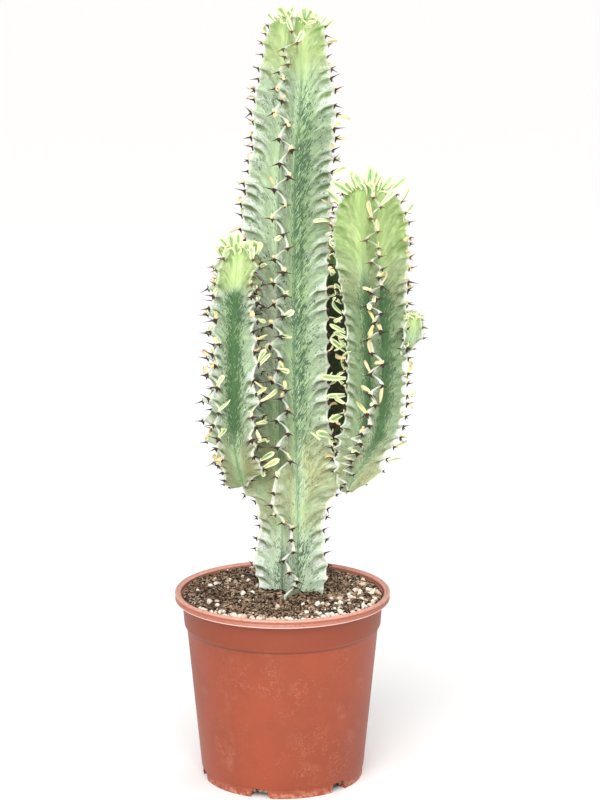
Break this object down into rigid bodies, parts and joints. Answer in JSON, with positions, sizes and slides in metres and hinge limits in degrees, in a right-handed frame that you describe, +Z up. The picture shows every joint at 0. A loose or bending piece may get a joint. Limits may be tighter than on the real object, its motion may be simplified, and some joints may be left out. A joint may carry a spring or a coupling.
{
  "type": "potted euphorbia",
  "caption": "Variegated candelabra euphorbia with winged, spiny stems and side branches, growing in soil in a round terracotta-coloured plastic pot.",
  "frame": {"origin": "centre of the flat pad in the middle of the pot's underside, level with the feet it stands on", "axes": "+Z up along the main stem; front towards -Y, the side that the picture shows; +X to the viewer's right"},
  "size_m": [0.2484, 0.21, 0.7536],
  "materials": {
    "pot_plastic": "satin",
    "potting_soil": "matte",
    "stem_skin": "satin",
    "shaded_stem_skin": "satin",
    "young_stem_skin": "satin"
  },
  "bodies": {
    "root": {"pot": "pot_plastic", "soil": "potting_soil", "main_stem": "stem_skin", "left_branch": "stem_skin", "right_branch": "stem_skin", "rear_branch": "shaded_stem_skin", "right_pup": "young_stem_skin"}
  },
  "joints": []
}
